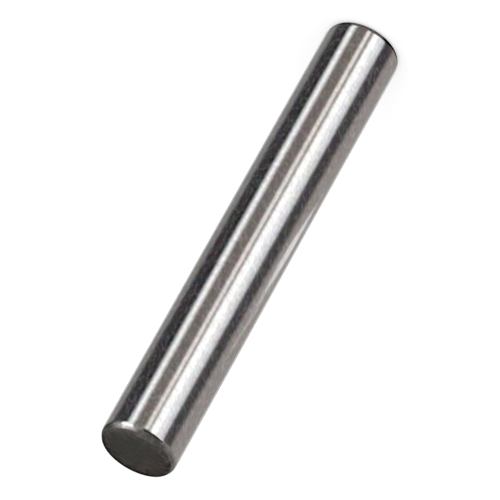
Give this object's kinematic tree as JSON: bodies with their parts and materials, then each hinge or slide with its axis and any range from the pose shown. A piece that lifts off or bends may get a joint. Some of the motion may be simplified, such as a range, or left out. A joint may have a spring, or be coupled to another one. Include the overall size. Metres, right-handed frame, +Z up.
{
  "type": "dowel pin",
  "caption": "Parallel steel dowel pin with a ground side, flat ends and a short lead-in cone at both ends, for locating or holding pressed-together parts.",
  "frame": {"origin": "centre of the lower end face, on the surface that the pin stands on", "axes": "+Z up along the pin's axis; the pin is round, so X and Y are any two square directions"},
  "size_m": [0.006, 0.006, 0.04],
  "materials": {
    "ground_steel": "ground and polished hardened steel, with a dull dark end face"
  },
  "bodies": {
    "root": {"dowel_pin": "ground_steel"}
  },
  "joints": []
}
